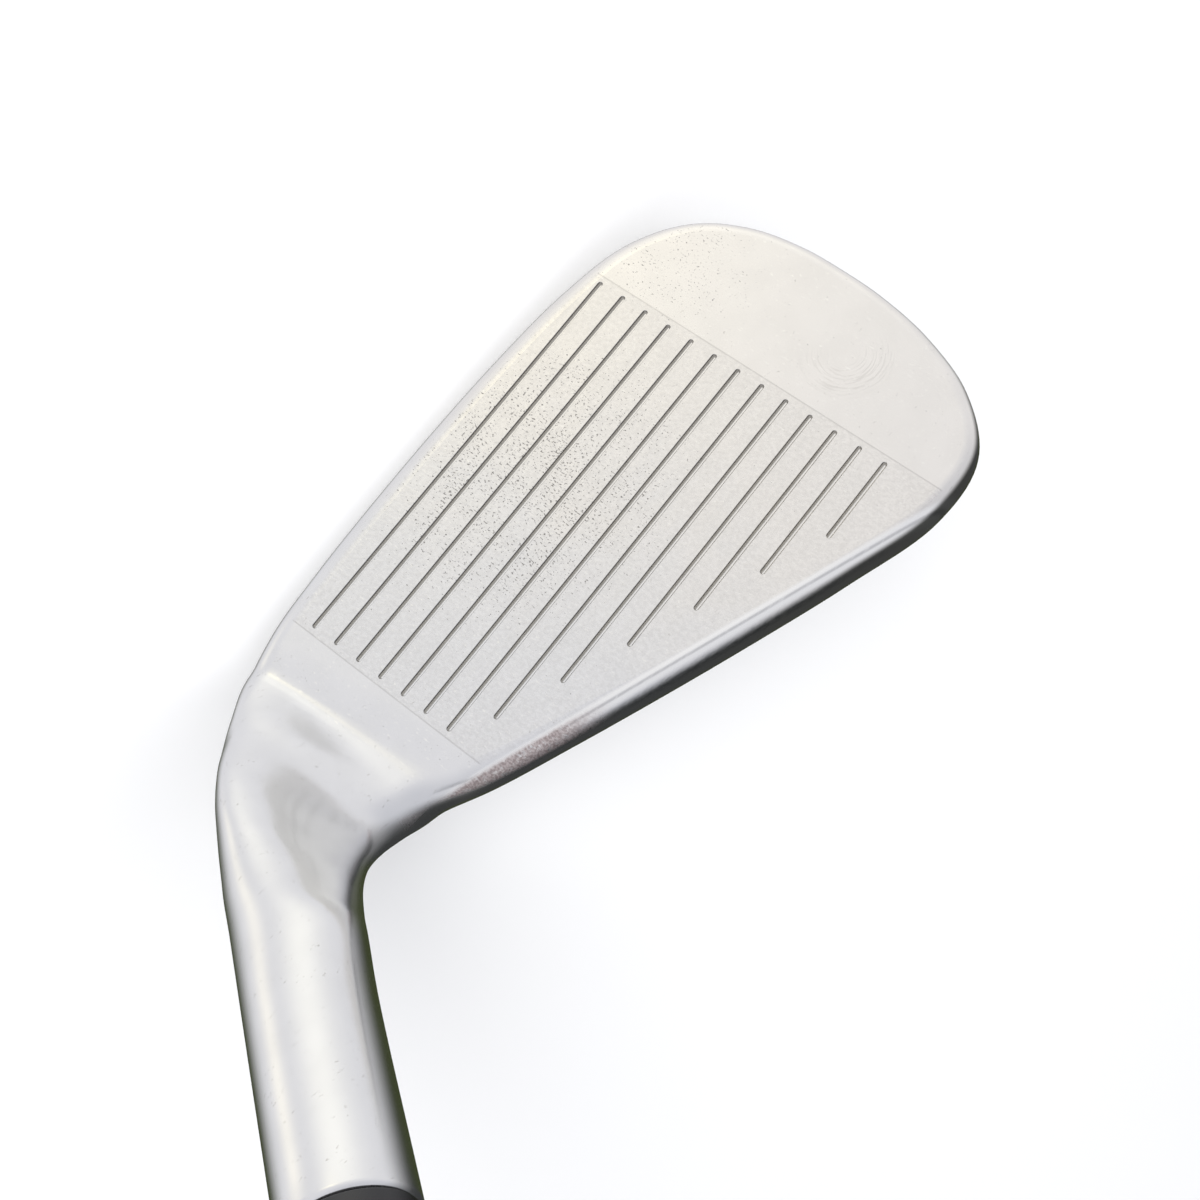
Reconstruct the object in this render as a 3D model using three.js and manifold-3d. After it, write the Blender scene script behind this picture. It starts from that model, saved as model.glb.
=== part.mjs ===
// A steel-shafted iron golf club, soled on level ground at its playing lie.
// Axes: X from toe to heel, Y from the striking face to the back, Z up. The origin is where the
// middle of the sole touches the ground. Lengths are in millimetres.

import * as THREE from 'three';
import { LoftGeometry } from 'three/addons/geometries/LoftGeometry.js';
import { mergeVertices } from 'three/addons/utils/BufferGeometryUtils.js';
import Module from 'manifold-3d';

const wasm = await Module();
wasm.setup();

const degrees = THREE.MathUtils.degToRad;

// Driving dimensions of the club.
const loft = degrees(29);
const lie = degrees(64);
const clubLength = 940;
const faceSetback = 14.7;          // from the face plane at ground level back to the origin

// Score lines.
const grooveCount = 13;
const fullGrooveCount = 7;
const groovePitch = 3.5;
const grooveWidth = 0.58;
const grooveDepth = 0.45;
const scoreLength = 54.5;
const firstGrooveHeight = 9;       // up the face, from ground level
const shortGrooveStep = 7.8;       // how much shorter each groove above the full ones is
const firstShortShare = 0.55;      // the lowest short groove is cut by this share of a step

// Hosel, and what goes into it.
const hoselRadius = 6.6;
const hoselEnd = new THREE.Vector3(68.5, -10.1, 69.8);
const hoselLip = 0.8;
const boreRadius = 5.15;
const boreDepth = 33;
const bondGap = 0.1;               // clearance on each side of a glued or pushed-on layer
const epoxyThickness = 0.25;
const tipRadius = 4.7;
const tipInsertion = 31;           // how far the shaft tip goes into the hosel
const tipWeightLength = 22;

// Shaft.
const buttRadius = 7.62;
const firstStepHeight = 215;       // above the hosel end
const stepCount = 13;
const stepSpacing = 30;
const stepRise = 2;                // length of the short cone at each step
const wallThickness = 0.42;

// Ferrule, label band and grip.
const ferruleLength = 20;
const ferruleTopRadius = 5.6;
const smallEdge = 0.5;             // rounding of the ends of turned pieces
const bandLength = 26;
const bandThickness = 0.2;
const gripLength = 267;
const gripMouthRadius = 9.6;
const gripButtRadius = 13.6;
const tapeThickness = 0.2;
const capThickness = 4;
const capRadius = 10.6;
const ventRadius = 1.6;

// Cavity in the back of the blade, and the pieces in it.
const faceThickness = 3;
const padThickness = 0.8;
const badgeThickness = 1;
const padInset = 1.2;
const badgeInset = 0.4;
const toeWeightRadius = 3;
const toeWeightLength = 6;
const toeWeightPlace = { x: -35, up: 18.4 };
const cutterReach = 30;            // how far cutters reach beyond the surface they open

// Directions of the face plane and of the shaft.
const heelward = new THREE.Vector3(1, 0, 0);
const upFace = new THREE.Vector3(0, Math.sin(loft), Math.cos(loft));
const intoHead = new THREE.Vector3(0, Math.cos(loft), -Math.sin(loft));
const backward = new THREE.Vector3(0, 1, 0);
const alongShaft = new THREE.Vector3(Math.cos(lie), 0, Math.sin(lie));
const acrossShaft = new THREE.Vector3(-Math.sin(lie), 0, Math.cos(lie));
const buttHeight = clubLength - hoselEnd.z / Math.sin(lie);

// A point of the head, x along the grooves, up the face from ground level, and depth behind it.
function facePoint(x, up, depth = 0) {
  return new THREE.Vector3(0, -faceSetback, 0)
    .addScaledVector(heelward, x)
    .addScaledVector(upFace, up)
    .addScaledVector(intoHead, depth);
}

// A point of the hosel, height up the shaft axis from the hosel end, and side towards the toe.
function hoselPoint(height, side) {
  return hoselEnd.clone().addScaledVector(alongShaft, height).addScaledVector(acrossShaft, side);
}

// ---- Head -----------------------------------------------------------------------------------

// The outline of the head, from the tip of the toe to the end of the hosel. Each rib joins a
// point of the leading edge to a point of the topline; further on, it joins the outer side of
// the neck to the crotch.
const toeTip = facePoint(-45.5, 32.3);
const ribs = [
  { lower: facePoint(-45.3, 26), upper: facePoint(-45.1, 38.4) },
  { lower: facePoint(-43.8, 19), upper: facePoint(-43.6, 45.7) },
  { lower: facePoint(-40.2, 12.4), upper: facePoint(-40.3, 53.3) },
  { lower: facePoint(-33.5, 7.4), upper: facePoint(-34.7, 58.6) },
  { lower: facePoint(-24, 4.9), upper: facePoint(-26, 59.2) },
  { lower: facePoint(-12, 3.8), upper: facePoint(-14, 55.4) },
  { lower: facePoint(0, 3.4), upper: facePoint(-2, 50.8) },
  { lower: facePoint(12, 3.4), upper: facePoint(10, 45.9) },
  { lower: facePoint(22, 3.7), upper: facePoint(20, 41.6) },
  { lower: facePoint(31, 4.4), upper: facePoint(29, 37.5) },
  { lower: facePoint(39, 6.7), upper: facePoint(36.5, 33.1) },
  { lower: new THREE.Vector3(45.3, -10, 11.9), upper: new THREE.Vector3(41.2, -0.4, 28.4) },
  { lower: new THREE.Vector3(49.9, -9.4, 19.4), upper: new THREE.Vector3(44.3, -3.8, 32.4) },
  { lower: new THREE.Vector3(54.1, -10, 25.6), upper: new THREE.Vector3(46.8, -7, 38.3) },
  { lower: hoselPoint(-36, -hoselRadius), upper: hoselPoint(-31, hoselRadius + 0.4) },
  { lower: hoselPoint(-24, -hoselRadius), upper: hoselPoint(-24, hoselRadius) },
  { lower: hoselPoint(-hoselLip, -hoselRadius), upper: hoselPoint(-hoselLip, hoselRadius) },
];

// The rim at the toe tip and at each rib after it: its depth, its slope in degrees and the
// radius of its front edge.
const soleDepths = [8, 8.4, 9.8, 12.6, 15.4, 17.4, 18.1, 18.2, 18.2, 18, 17.2, 15.8];
const soleSlopes = [0, -2, -7, -13.5, -20, -24, -25, -25, -25, -25, -24.5, -23];
const soleEdges = [1.7, 1.7, 1.8, 2.1, 2.6, 3, 3, 3, 3, 3, 3.2, 3.6];
const topDepths = [8, 7.6, 6.9, 6.2, 5.8, 5.6, 5.6, 5.6, 5.6, 5.7, 6, 7];
const topSlopes = [0, 0.5, 1, 1.5, 2, 2.5, 3.5, 5, 5.5, 5.5];
const topEdges = [1.7, 1.7, 1.7, 1.7, 1.7, 1.7, 1.9, 2.1, 2.3, 2.6, 3, 3.3];

// The neck: the places along the ribs between which sections become round like the hosel, and
// how gently they leave the face. Each changes from the middle of a section to its ends.
const neckStart = 10.75;
const neckStartLean = 0.2;
const neckEnd = 12.8;
const neckEndLean = 0.4;
const neckSoftness = 1.4;
const neckSoftnessLean = 0.4;
const neckBlend = 0.8;             // how far along the ribs each section is evened out

const soleCamber = degrees(12);
const topCamber = degrees(12);
const rearEdgeShare = 0.8;         // rear edge radius as a share of the front edge's
const muscleBottom = -0.25;        // where the bulge of the back begins and ends, as shares
const muscleTop = 0.48;            // of the way from the sole to the topline
const sectionCorners = [-125, -55, 55, 125, 235].map(degrees);  // on the round of the hosel

const outline = new THREE.CatmullRomCurve3(
  [...ribs.map((rib) => rib.upper).reverse(), toeTip, ...ribs.map((rib) => rib.lower)],
  false,
  'centripetal',
);

// The value of a list at a place along the ribs, held at its last entry beyond its end.
function valueAt(list, place) {
  const spline = new THREE.SplineCurve(list.map((value, index) => new THREE.Vector2(index, value)));
  return spline.getPoint(Math.min(place / (list.length - 1), 1)).y;
}

// The share by which a section is round like the hosel; height runs from -1 to 1 up it.
function roundness(place, height = 0) {
  const start = neckStart + neckStartLean * height;
  const end = neckEnd + neckEndLean * height;
  const way = THREE.MathUtils.clamp((place - start) / (end - start), 0, 1);
  return 1 - (1 - way ** (neckSoftness + neckSoftnessLean * height)) ** 2;
}

// The rim in section: a round front edge, a cambered band and a round rear edge. Each point is
// [outward from the outline, depth], from the face to the back.
function rimProfile(depth, slope, camber, frontRadius, detail) {
  const rearRadius = frontRadius * rearEdgeShare;
  const startAngle = slope + camber;
  const endAngle = slope - camber;
  const edges = frontRadius * (1 - Math.sin(startAngle)) + rearRadius * (1 + Math.sin(endAngle));
  const bandRadius = (depth - edges) / (2 * Math.cos(slope) * Math.sin(camber));
  const arcs = [
    { radius: frontRadius, from: Math.PI / 2, to: startAngle, steps: detail.edge },
    { radius: bandRadius, from: startAngle, to: endAngle, steps: detail.band },
    { radius: rearRadius, from: endAngle, to: -Math.PI / 2, steps: detail.edge },
  ];
  const widest = startAngle > 0
    ? frontRadius * Math.cos(startAngle) + bandRadius * (1 - Math.cos(startAngle))
    : frontRadius;
  let outward = -widest;
  let inward = 0;
  const points = [[outward, inward]];
  for (const arc of arcs) {
    for (let step = 1; step <= arc.steps; step += 1) {
      const angle = THREE.MathUtils.lerp(arc.from, arc.to, step / arc.steps);
      points.push([
        outward + arc.radius * (Math.cos(angle) - Math.cos(arc.from)),
        inward + arc.radius * (Math.sin(arc.from) - Math.sin(angle)),
      ]);
    }
    [outward, inward] = points[points.length - 1];
  }
  return points;
}

// The rib at a place counted from the toe tip, with its ends, its axes and the directions in
// which the rim stands out: square to the outline in the blade, along the rib in the hosel.
function ribAt(place) {
  const lowerPlace = (ribs.length + place) / (2 * ribs.length);
  const upperPlace = (ribs.length - place) / (2 * ribs.length);
  const lower = outline.getPoint(lowerPlace);
  const upper = outline.getPoint(upperPlace);
  const share = roundness(place);
  const axis = place > 0 ? upper.clone().sub(lower).normalize() : upFace.clone();
  const outwardAt = (outlinePlace, alongRib) => intoHead.clone()
    .cross(outline.getTangent(outlinePlace))
    .normalize()
    .lerp(alongRib, share)
    .normalize();
  return {
    lower,
    upper,
    axis,
    lowerOut: outwardAt(lowerPlace, axis.clone().negate()),
    upperOut: outwardAt(upperPlace, axis),
    depthAxis: intoHead.clone().lerp(backward, share).normalize(),
  };
}

// The points of the back, from the rear edge of the sole to the rear edge of the topline.
function backPoints(sole, top, depthAxis, steps) {
  const soleDepth = sole.clone().sub(top).dot(depthAxis);
  const points = [];
  for (let step = 1; step < steps; step += 1) {
    const way = step / steps;
    const bulge = way - THREE.MathUtils.smoothstep(way, muscleBottom, muscleTop);
    points.push(sole.clone().lerp(top, way).addScaledVector(depthAxis, bulge * soleDepth));
  }
  return points;
}

// One closed section of the head: sole rim, back, top rim and flat face, drawn towards the
// round of the hosel as the blade runs into it.
function headSection(place, detail) {
  const rib = ribAt(place);
  const rimPoints = (profile, base, out) => profile.map(([outward, inward]) => base.clone()
    .addScaledVector(out, outward)
    .addScaledVector(rib.depthAxis, inward));
  const sole = rimPoints(rimProfile(
    valueAt(soleDepths, place), degrees(valueAt(soleSlopes, place)), soleCamber,
    valueAt(soleEdges, place), detail,
  ), rib.lower, rib.lowerOut);
  const top = rimPoints(rimProfile(
    valueAt(topDepths, place), degrees(valueAt(topSlopes, place)), topCamber,
    valueAt(topEdges, place), detail,
  ), rib.upper, rib.upperOut).reverse();
  const back = backPoints(sole[sole.length - 1], top[0], rib.depthAxis, detail.back);
  const face = [];
  for (let step = 1; step < detail.face; step += 1) {
    face.push(top[top.length - 1].clone().lerp(sole[0], step / detail.face));
  }

  const starts = [0, sole.length - 1, sole.length + back.length,
    sole.length + back.length + top.length - 1];
  const ring = [...sole, ...back, ...top, ...face];
  const centre = rib.lower.clone().lerp(rib.upper, 0.5);
  const halfRib = rib.lower.distanceTo(rib.upper) / 2;
  return ring.map((point, index) => {
    const corner = starts.findLastIndex((start) => index >= start);
    const next = starts[corner + 1] ?? ring.length;
    const along = (index - starts[corner]) / (next - starts[corner]);
    const angle = THREE.MathUtils.lerp(sectionCorners[corner], sectionCorners[corner + 1], along);
    const round = centre.clone()
      .addScaledVector(rib.axis, halfRib * Math.sin(angle))
      .addScaledVector(rib.depthAxis, hoselRadius * Math.cos(angle))
      .addScaledVector(backward, (hoselEnd.y - centre.y) * Math.cos(angle) ** 2);
    return point.lerp(round, roundness(place, Math.sin(angle)));
  });
}

// A section evened out with those beside it, which keeps the bend of the neck smooth.
function evenSection(place, detail) {
  const reach = neckBlend * THREE.MathUtils.smoothstep(place, 10.4, 11.4)
    * (1 - THREE.MathUtils.smoothstep(place, 14.2, 15.2));
  const before = headSection(place - reach, detail);
  const after = headSection(place + reach, detail);
  return headSection(place, detail)
    .map((point, index) => point.lerp(before[index].lerp(after[index], 0.5), 0.5));
}

// The whole outer surface of the head, with the rounded lip at the end of the hosel.
function headSurface(detail) {
  const sections = [];
  const places = ribs.length * detail.perRib;
  for (let step = 0; step <= places; step += 1) {
    sections.push(evenSection(step / detail.perRib, detail));
  }
  const rim = sections[sections.length - 1];
  const rimCentre = hoselPoint(-hoselLip, 0);
  const lipEnd = rim.map((point) => point.clone().sub(rimCentre)
    .multiplyScalar((hoselRadius - hoselLip) / hoselRadius)
    .add(rimCentre)
    .addScaledVector(alongShaft, hoselLip));
  sections.push(lipEnd);
  return new LoftGeometry(sections, { capEnd: true });
}

// ---- Solids and booleans --------------------------------------------------------------------

// A manifold solid from a closed geometry, with its shared corners merged.
function solidFrom(geometry) {
  const bare = new THREE.BufferGeometry();
  bare.setAttribute('position', geometry.attributes.position);
  bare.setIndex(geometry.index);
  const merged = mergeVertices(bare, 1e-4);
  const corners = merged.index.array;
  const kept = [];
  for (let i = 0; i < corners.length; i += 3) {
    const [a, b, c] = corners.slice(i, i + 3);
    if (a !== b && b !== c && c !== a) kept.push(a, b, c);
  }
  return new wasm.Manifold(new wasm.Mesh({
    numProp: 3,
    vertProperties: new Float32Array(merged.attributes.position.array),
    triVerts: new Uint32Array(kept),
  }));
}

function geometryFrom(solid) {
  const mesh = solid.getMesh();
  const geometry = new THREE.BufferGeometry();
  geometry.setAttribute('position', new THREE.BufferAttribute(mesh.vertProperties, 3));
  geometry.setIndex(new THREE.BufferAttribute(mesh.triVerts, 1));
  return geometry;
}

// Moves a geometry drawn in the face plane (x heelward, y up the face, z out of the face)
// to the head.
function onFace(geometry) {
  const place = new THREE.Matrix4()
    .makeBasis(heelward, upFace, intoHead.clone().negate())
    .setPosition(facePoint(0, 0));
  return geometry.applyMatrix4(place);
}

// Moves a geometry turned about its own Y axis onto the shaft axis, its zero at the hosel end.
function onShaft(geometry) {
  const place = new THREE.Matrix4()
    .makeBasis(acrossShaft.clone().negate(), alongShaft, backward.clone().negate())
    .setPosition(hoselEnd);
  return geometry.applyMatrix4(place);
}

// A turned piece on the shaft axis, from [radius, height] points in order round its section.
function turned(points, segments = 28) {
  const profile = points.map(([radius, height]) => new THREE.Vector2(radius, height));
  return onShaft(new THREE.LatheGeometry(profile, segments));
}

// A sleeve on the shaft axis between two heights and two radii.
function sleeve(inner, outer, bottom, top) {
  return turned([[inner, bottom], [outer, bottom], [outer, top], [inner, top], [inner, bottom]]);
}

function named(name, geometry, colour, roughness, metalness) {
  const material = new THREE.MeshStandardMaterial({ color: colour, roughness, metalness });
  const mesh = new THREE.Mesh(geometry, material);
  mesh.name = name;
  return mesh;
}

// ---- Cuts in the head -----------------------------------------------------------------------

// A score line. The upper ones are cut shorter at the heel, to keep clear of the topline.
function grooveCutter(index) {
  const cutBack = Math.max(0, index - fullGrooveCount + firstShortShare) * shortGrooveStep;
  const toeEnd = (grooveWidth - scoreLength) / 2;
  const heelEnd = (scoreLength - grooveWidth) / 2 - cutBack;
  const height = firstGrooveHeight + index * groovePitch;
  const slot = new THREE.Shape();
  slot.absarc(toeEnd, height, grooveWidth / 2, Math.PI / 2, Math.PI * 1.5, false);
  slot.absarc(heelEnd, height, grooveWidth / 2, -Math.PI / 2, Math.PI / 2, false);
  const body = new THREE.ExtrudeGeometry(slot, {
    depth: 2 * grooveDepth,
    bevelEnabled: false,
    curveSegments: 4,
  });
  return onFace(body.translate(0, 0, -grooveDepth));
}

// The outline of the cavity, x heelward and y up the face: straight under the topline and above
// the sole, rounded at the toe and the heel. The inset draws every side in.
function cavityShape(inset) {
  const topHeel = { x: 24 - inset, y: 31.5 - inset };
  const topToe = { x: -25 + inset, y: 51.8 - inset };
  const toe = { x: -37.2 + inset, y: 37 };
  const lowToe = { x: -27.5 + inset, y: 20 + inset };
  const lowHeel = { x: 22 - inset, y: 17.5 + inset };
  const round = 4.5;
  const shape = new THREE.Shape();
  shape.moveTo(lowHeel.x, lowHeel.y);
  shape.bezierCurveTo(
    lowHeel.x + round, lowHeel.y, topHeel.x + round, topHeel.y - round, topHeel.x, topHeel.y,
  );
  shape.lineTo(topToe.x, topToe.y);
  shape.bezierCurveTo(
    topToe.x - round, topToe.y + round / 2, toe.x, toe.y + 2 * round, toe.x, toe.y,
  );
  shape.bezierCurveTo(toe.x, toe.y - 2 * round, lowToe.x - round, lowToe.y, lowToe.x, lowToe.y);
  shape.closePath();
  return shape;
}

// A plate of the cavity's outline, between two depths behind the face.
function cavityPlate(inset, nearDepth, farDepth) {
  const plate = new THREE.ExtrudeGeometry(cavityShape(inset), {
    depth: farDepth - nearDepth,
    bevelEnabled: false,
    curveSegments: 8,
  });
  return onFace(plate.translate(0, 0, -farDepth));
}

// A round bar through the toe, square to the face, between two depths behind it.
function toeBar(radius, nearDepth, farDepth) {
  const bar = new THREE.CylinderGeometry(radius, radius, farDepth - nearDepth, 24);
  bar.rotateX(Math.PI / 2);
  bar.translate(toeWeightPlace.x, toeWeightPlace.up, -(nearDepth + farDepth) / 2);
  return onFace(bar);
}

function hoselBore() {
  return turned([
    [0, -boreDepth],
    [boreRadius, -boreDepth],
    [boreRadius, cutterReach],
    [0, cutterReach],
  ]);
}

// Everything below ground level, where the sole is worn flat.
function groundBlock() {
  const reach = 4 * cutterReach;
  return new THREE.BoxGeometry(2 * reach, 2 * reach, reach).translate(0, 0, -reach / 2);
}

function headBody() {
  const cutters = [
    groundBlock(),
    hoselBore(),
    cavityPlate(0, faceThickness, cutterReach),
    toeBar(toeWeightRadius + bondGap, faceThickness, cutterReach),
  ];
  for (let index = 0; index < grooveCount; index += 1) {
    cutters.push(grooveCutter(index));
  }
  const surface = headSurface({ perRib: 3, edge: 3, band: 4, back: 8, face: 3 });
  return geometryFrom(cutters.reduce(
    (body, cutter) => body.subtract(solidFrom(cutter)),
    solidFrom(surface),
  ));
}

// ---- Pieces in and on the head --------------------------------------------------------------

function dampingPad() {
  return cavityPlate(padInset, faceThickness + bondGap, faceThickness + bondGap + padThickness);
}

function cavityBadge() {
  const near = faceThickness + 2 * bondGap + padThickness;
  return cavityPlate(badgeInset, near, near + badgeThickness);
}

function toeWeight() {
  const near = faceThickness + bondGap;
  return toeBar(toeWeightRadius, near, near + toeWeightLength);
}

// The layer of glue between the shaft tip and the bore, a little short at both ends.
function hoselEpoxy() {
  const outer = boreRadius - bondGap;
  return sleeve(outer - epoxyThickness, outer, smallEdge - tipInsertion, -smallEdge);
}

// The collar above the hosel: flush with it below, and tapered to the shaft above.
function ferrule() {
  const inner = tipRadius + bondGap;
  const base = hoselRadius - bondGap;
  const top = ferruleTopRadius;
  return turned([
    [inner, bondGap],
    [base, bondGap],
    [base - 0.25, 0.4 * ferruleLength],
    [top + 0.25, 0.85 * ferruleLength],
    [top, ferruleLength - smallEdge],
    [top - smallEdge, ferruleLength],
    [inner, ferruleLength],
    [inner, bondGap],
  ]);
}

// ---- Shaft and grip -------------------------------------------------------------------------

function stepRadius(step) {
  return THREE.MathUtils.lerp(tipRadius, buttRadius, step / stepCount);
}

function stepStart(step) {
  return firstStepHeight + (step - 1) * stepSpacing;
}

function shaft() {
  const top = buttHeight - capThickness;
  const points = [[tipRadius, -tipInsertion]];
  for (let step = 1; step <= stepCount; step += 1) {
    points.push([stepRadius(step - 1), stepStart(step)]);
    points.push([stepRadius(step), stepStart(step) + stepRise]);
  }
  points.push([buttRadius, top]);
  points.push([buttRadius - wallThickness, top]);
  points.push([buttRadius - wallThickness, stepStart(stepCount) + stepSpacing]);
  points.push([tipRadius - wallThickness, stepStart(1)]);
  points.push([tipRadius - wallThickness, -tipInsertion]);
  points.push(points[0]);
  return turned(points);
}

// A plug pushed into the shaft tip, with a head that covers the tip.
function tipWeight() {
  const pin = tipRadius - wallThickness - bondGap;
  const seat = -tipInsertion - bondGap;
  const end = seat + tipWeightLength;
  const headRadius = tipRadius - bondGap;
  const headThickness = 1;
  return turned([
    [0, seat - headThickness],
    [headRadius, seat - headThickness],
    [headRadius, seat],
    [pin, seat],
    [pin, end - 2 * smallEdge],
    [pin - 2 * smallEdge, end],
    [0, end],
  ]);
}

// A label round the parallel part of the shaft between its last two steps.
function shaftBand() {
  const middle = (stepStart(stepCount - 1) + stepRise + stepStart(stepCount)) / 2;
  const inner = stepRadius(stepCount - 1) + bondGap;
  return sleeve(inner, inner + bandThickness, middle - bandLength / 2, middle + bandLength / 2);
}

// The tape under the grip, a little short of the mouth and of the cap.
function gripTape() {
  const inner = buttRadius + bondGap;
  const bottom = buttHeight - gripLength + 6 * smallEdge;
  return sleeve(inner, inner + tapeThickness, bottom, buttHeight - capThickness - 2 * smallEdge);
}

// A tapered rubber sleeve with a rolled mouth and a swollen butt end, which the cap closes.
function grip() {
  const inner = buttRadius + 2 * bondGap + tapeThickness;
  const mouth = buttHeight - gripLength;
  const butt = buttHeight - bondGap;
  const capSeat = buttHeight - capThickness + bondGap;
  return turned([
    [inner, mouth],
    [gripMouthRadius - smallEdge, mouth],
    [gripMouthRadius, mouth + 2 * smallEdge],
    [gripMouthRadius + 0.5, mouth + 0.22 * gripLength],
    [gripMouthRadius + 1.6, mouth + 0.6 * gripLength],
    [gripButtRadius - 1.2, mouth + 0.89 * gripLength],
    [gripButtRadius, butt - 5],
    [gripButtRadius - smallEdge, butt - 1.5],
    [gripButtRadius - 3 * smallEdge, butt],
    [capRadius + bondGap, butt],
    [capRadius + bondGap, capSeat],
    [inner, capSeat],
    [inner, mouth],
  ], 32);
}

// The end cap of the grip, with its vent hole.
function gripCap() {
  const bottom = buttHeight - capThickness + 2 * bondGap;
  return turned([
    [ventRadius, bottom],
    [capRadius, bottom],
    [capRadius, buttHeight - smallEdge],
    [capRadius - smallEdge, buttHeight],
    [ventRadius, buttHeight],
    [ventRadius, bottom],
  ], 32);
}

const club = new THREE.Group();
club.add(
  named('head_body', headBody(), 0xd9d9d6, 0.3, 1),
  named('toe_weight', toeWeight(), 0x6f7072, 0.45, 1),
  named('damping_pad', dampingPad(), 0x1c1c1e, 0.9, 0),
  named('cavity_badge', cavityBadge(), 0x5d6064, 0.4, 0.8),
  named('hosel_epoxy', hoselEpoxy(), 0xb9a879, 0.5, 0),
  named('tip_weight', tipWeight(), 0xb08d4a, 0.35, 1),
  named('shaft', shaft(), 0xdfe1e4, 0.12, 1),
  named('ferrule', ferrule(), 0x0c0c0d, 0.2, 0),
  named('shaft_band', shaftBand(), 0x2b2f36, 0.5, 0),
  named('grip_tape', gripTape(), 0xe6e0cf, 0.8, 0),
  named('grip', grip(), 0x17181a, 0.85, 0),
  named('grip_cap', gripCap(), 0x202225, 0.6, 0),
);

export default club;
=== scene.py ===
"""The looks of the iron golf club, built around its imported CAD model.

Lengths in this script are millimetres until a mesh is made. Heights up the shaft axis are
counted from the end of the hosel.
"""

import math

import bmesh
import bpy
import numpy as np
from mathutils import Euler, Matrix, Vector


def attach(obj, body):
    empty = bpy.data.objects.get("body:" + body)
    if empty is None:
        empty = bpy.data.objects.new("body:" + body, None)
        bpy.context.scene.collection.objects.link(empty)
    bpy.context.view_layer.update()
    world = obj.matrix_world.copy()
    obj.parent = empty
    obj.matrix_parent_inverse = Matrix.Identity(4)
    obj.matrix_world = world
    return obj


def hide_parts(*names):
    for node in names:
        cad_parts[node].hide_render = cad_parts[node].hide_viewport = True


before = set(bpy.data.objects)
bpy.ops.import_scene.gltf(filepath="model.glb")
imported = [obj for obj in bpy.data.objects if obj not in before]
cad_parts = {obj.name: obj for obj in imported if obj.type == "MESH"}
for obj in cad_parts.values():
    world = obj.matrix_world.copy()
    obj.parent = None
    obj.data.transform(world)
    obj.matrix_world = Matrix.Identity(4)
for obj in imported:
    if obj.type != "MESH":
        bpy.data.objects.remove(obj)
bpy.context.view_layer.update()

MM = 0.001

# Driving dimensions, the same as the CAD model's.
LOFT = math.radians(29)
LIE = math.radians(64)
CLUB_LENGTH = 940
FACE_SETBACK = 14.7

GROOVE_COUNT = 13
FULL_GROOVE_COUNT = 7
GROOVE_PITCH = 3.5
GROOVE_WIDTH = 0.58
GROOVE_DEPTH = 0.45
SCORE_LENGTH = 54.5
FIRST_GROOVE_HEIGHT = 9
SHORT_GROOVE_STEP = 7.8
FIRST_SHORT_SHARE = 0.55

HOSEL_RADIUS = 6.6
HOSEL_END = np.array([68.5, -10.1, 69.8])
HOSEL_LIP = 0.8
BORE_RADIUS = 5.15
BORE_DEPTH = 33
BOND_GAP = 0.1
TIP_RADIUS = 4.7
TIP_INSERTION = 31

BUTT_RADIUS = 7.62
FIRST_STEP_HEIGHT = 215
STEP_COUNT = 13
STEP_SPACING = 30
STEP_RISE = 2
WALL_THICKNESS = 0.42

FERRULE_LENGTH = 20
FERRULE_TOP_RADIUS = 5.6
BAND_LENGTH = 26
BAND_THICKNESS = 0.2
GRIP_LENGTH = 267
GRIP_MOUTH_RADIUS = 9.6
GRIP_BUTT_RADIUS = 13.6
TAPE_THICKNESS = 0.2
CAP_THICKNESS = 4
CAP_RADIUS = 10.6
VENT_RADIUS = 1.6

FACE_THICKNESS = 3
PAD_THICKNESS = 0.8
BADGE_THICKNESS = 1
BADGE_INSET = 0.4
TOE_WEIGHT_RADIUS = 3
TOE_WEIGHT_LENGTH = 6
TOE_WEIGHT_PLACE = (-35, 18.4)
CUTTER_REACH = 30
ROOM_RADIUS = 8000

HEELWARD = np.array([1, 0, 0])
UP_FACE = np.array([0, math.sin(LOFT), math.cos(LOFT)])
INTO_HEAD = np.array([0, math.cos(LOFT), -math.sin(LOFT)])
BACKWARD = np.array([0, 1, 0])
ALONG_SHAFT = np.array([math.cos(LIE), 0, math.sin(LIE)])
ACROSS_SHAFT = np.array([-math.sin(LIE), 0, math.cos(LIE)])
BUTT_HEIGHT = CLUB_LENGTH - HOSEL_END[2] / math.sin(LIE)


def unit(vector):
    return vector / np.linalg.norm(vector)


def mix(first, second, share):
    return first + (second - first) * share


def smoothstep(value, low, high):
    share = min(max((value - low) / (high - low), 0), 1)
    return share * share * (3 - 2 * share)


def face_point(x, up, depth=0):
    """A point of the head: x along the grooves, up the face, and depth behind it."""
    return x * HEELWARD + up * UP_FACE + depth * INTO_HEAD - FACE_SETBACK * BACKWARD


def hosel_point(height, side):
    """A point of the hosel: height up the shaft axis, and side towards the toe."""
    return HOSEL_END + height * ALONG_SHAFT + side * ACROSS_SHAFT


# ---- Outer surface of the head -------------------------------------

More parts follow.
